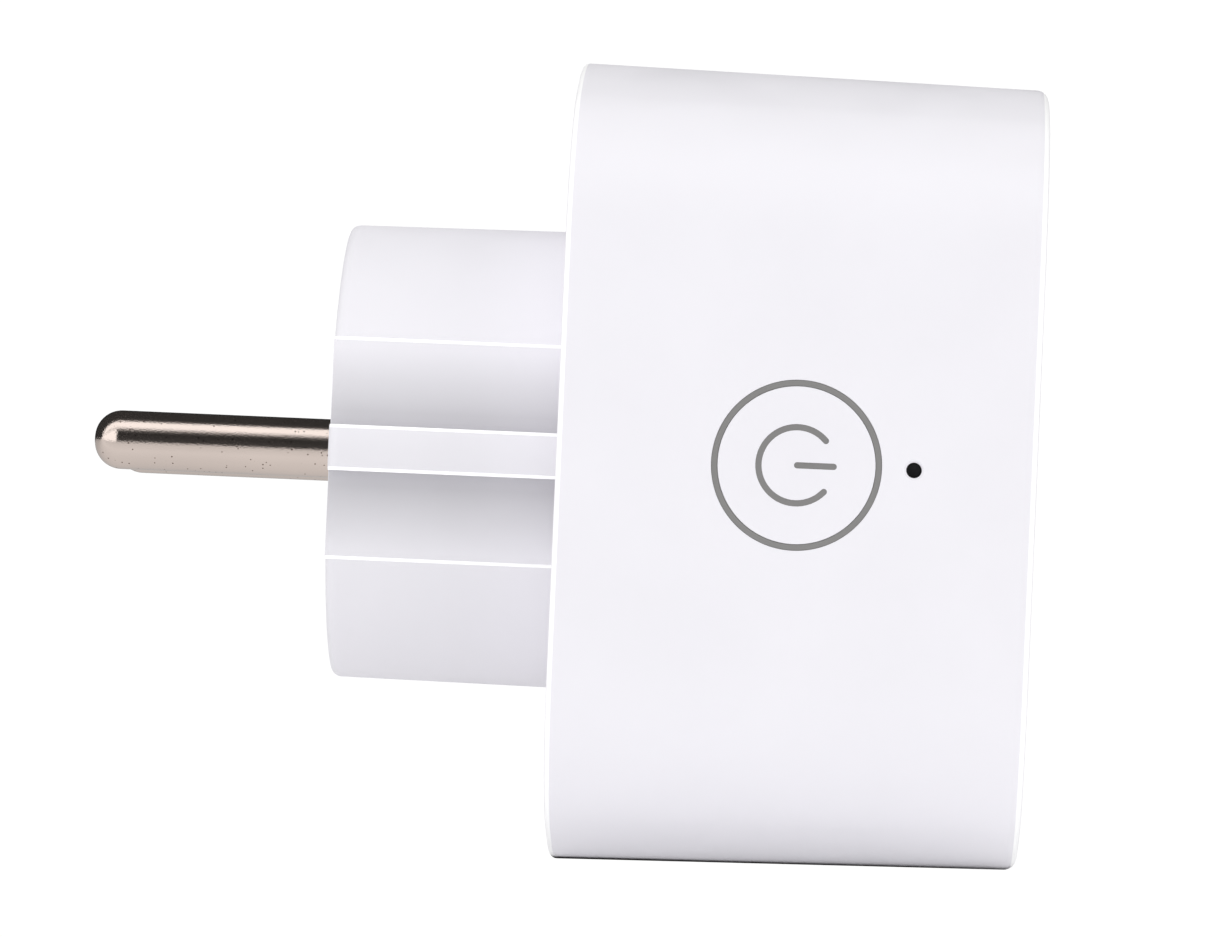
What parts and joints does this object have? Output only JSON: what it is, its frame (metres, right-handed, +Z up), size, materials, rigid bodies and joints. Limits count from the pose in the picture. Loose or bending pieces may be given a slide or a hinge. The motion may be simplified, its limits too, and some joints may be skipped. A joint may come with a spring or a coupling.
{
  "type": "smart plug",
  "caption": "Wall-socket smart plug: drafted white body, earthed round insert with two pins, earthed socket in front, power button with ring on one side.",
  "frame": {"origin": "centre of the engagement face, the flat end of the round insert that seats in the wall socket", "axes": "+Y along the pins into the wall, +Z up along the body's height, +X across its width; the power button is on the -X side and the socket opens to -Y"},
  "size_m": [0.052, 0.0767, 0.0658],
  "materials": {
    "shell_white": "satin moulded white",
    "button_white": "satin moulded white",
    "ring_smoke": "smoky translucent grey",
    "mark_grey": "grey infill, slightly sunk",
    "pin_nickel": "nickel-plated brass, fine drawn lines",
    "spring_bronze": "tinned phosphor bronze",
    "plated_steel": "zinc plated",
    "carrier_plastic": "matt natural",
    "shutter_plastic": "matt white",
    "board_green": "solder mask",
    "dark_plastic": "matt black",
    "relay_blue": "gloss blue",
    "copper_winding": "enamelled wire",
    "soft_iron": "plated iron",
    "ferrite": "matt dark grey",
    "capacitor_yellow": "moulded box",
    "varistor_blue": "dipped coating",
    "resistor_green": "coated",
    "sleeve_black": "shrink sleeve",
    "led_white": "clear moulded",
    "radio_metal": "stamped can"
  },
  "bodies": {
    "plug": {"front_shell": "shell_white", "socket_cup": "shell_white", "rear_cover": "shell_white", "plug_pin_left": "pin_nickel", "plug_pin_right": "pin_nickel", "pin_retainer": "carrier_plastic", "retainer_screws": "plated_steel", "plug_earth_strap": "spring_bronze", "live_strip": "spring_bronze", "neutral_strip": "spring_bronze", "main_board": "board_green", "board_screws": "plated_steel", "contact_carrier": "carrier_plastic", "contact_clip_left": "spring_bronze", "contact_clip_right": "spring_bronze", "shutter_spring": "plated_steel", "socket_earth_clip": "spring_bronze", "earth_link": "spring_bronze", "light_ring": "ring_smoke", "power_switch": "dark_plastic", "reset_switch": "dark_plastic", "control_board": "board_green", "status_leds": "led_white", "header_block": "dark_plastic", "header_pins": "spring_bronze", "radio_board": "board_green", "radio_can": "radio_metal", "radio_aerial": "copper_winding", "relay_base": "dark_plastic", "relay_case": "relay_blue", "relay_coil": "copper_winding", "relay_core": "soft_iron", "relay_yoke": "soft_iron", "relay_contact": "spring_bronze", "suppression_capacitor": "capacitor_yellow", "varistor": "varistor_blue", "fuse_resistor": "resistor_green", "smoothing_capacitor_a": "sleeve_black", "smoothing_capacitor_b": "sleeve_black", "choke_core": "ferrite", "choke_winding": "copper_winding", "power_chip": "dark_plastic", "metering_chip": "dark_plastic", "bridge_rectifier": "dark_plastic"},
    "power_button": {"power_button": "button_white", "power_symbol": "mark_grey", "power_plunger": "dark_plastic"},
    "reset_plunger": {"reset_plunger": "dark_plastic"},
    "shutter": {"shutter": "shutter_plastic"},
    "relay_armature": {"relay_armature": "soft_iron"}
  },
  "joints": [
    {"name": "power_button_press", "type": "slide", "parent": "plug", "child": "power_button", "axis": [0.9998, 0.0192, 0], "range_m": [0, 0.00025], "stiffness_N_per_m": 1500, "springref_m": -0.0005},
    {"name": "reset_press", "type": "slide", "parent": "plug", "child": "reset_plunger", "axis": [0.9998, 0.0192, 0], "range_m": [0, 0.00025], "stiffness_N_per_m": 1500, "springref_m": -0.0005},
    {"name": "shutter_turn", "type": "hinge", "parent": "plug", "child": "shutter", "pos_m": [0, -0.036, 0], "axis": [0, 1, 0], "range_deg": [0, 42], "stiffness_Nm_per_rad": 0.002, "springref_deg": -20.05},
    {"name": "relay_armature_tip", "type": "hinge", "parent": "plug", "child": "relay_armature", "pos_m": [0.0001, -0.0355, 0.0258], "axis": [0, 0, -1], "range_deg": [0, 3], "stiffness_Nm_per_rad": 0.02, "springref_deg": -2.86}
  ]
}
